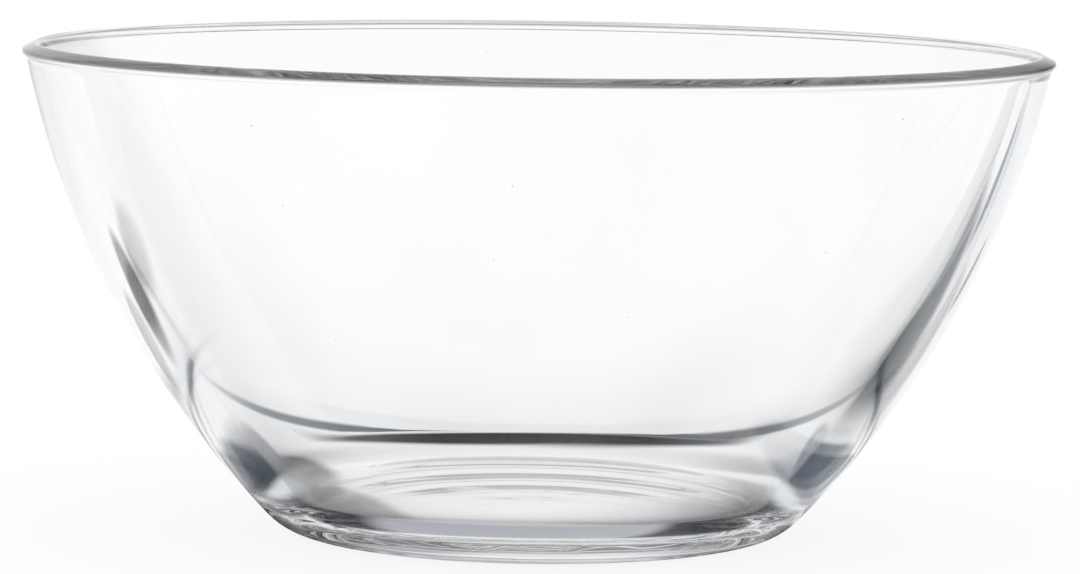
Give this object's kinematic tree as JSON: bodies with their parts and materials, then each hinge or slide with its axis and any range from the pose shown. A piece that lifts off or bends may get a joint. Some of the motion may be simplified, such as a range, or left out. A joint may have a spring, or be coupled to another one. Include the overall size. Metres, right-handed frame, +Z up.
{
  "type": "salad bowl",
  "caption": "Clear pressed-glass salad bowl with a flared curved wall, a rounded lip, a thick base and a flat floor.",
  "frame": {"origin": "centre of the foot, on the surface that the bowl stands on", "axes": "+Z up along the bowl's axis of revolution; +X and +Y are any two level directions at right angles"},
  "size_m": [0.23, 0.23, 0.109],
  "materials": {
    "glass": "clear, fire-polished"
  },
  "bodies": {
    "root": {"glass_bowl": "glass"}
  },
  "joints": []
}
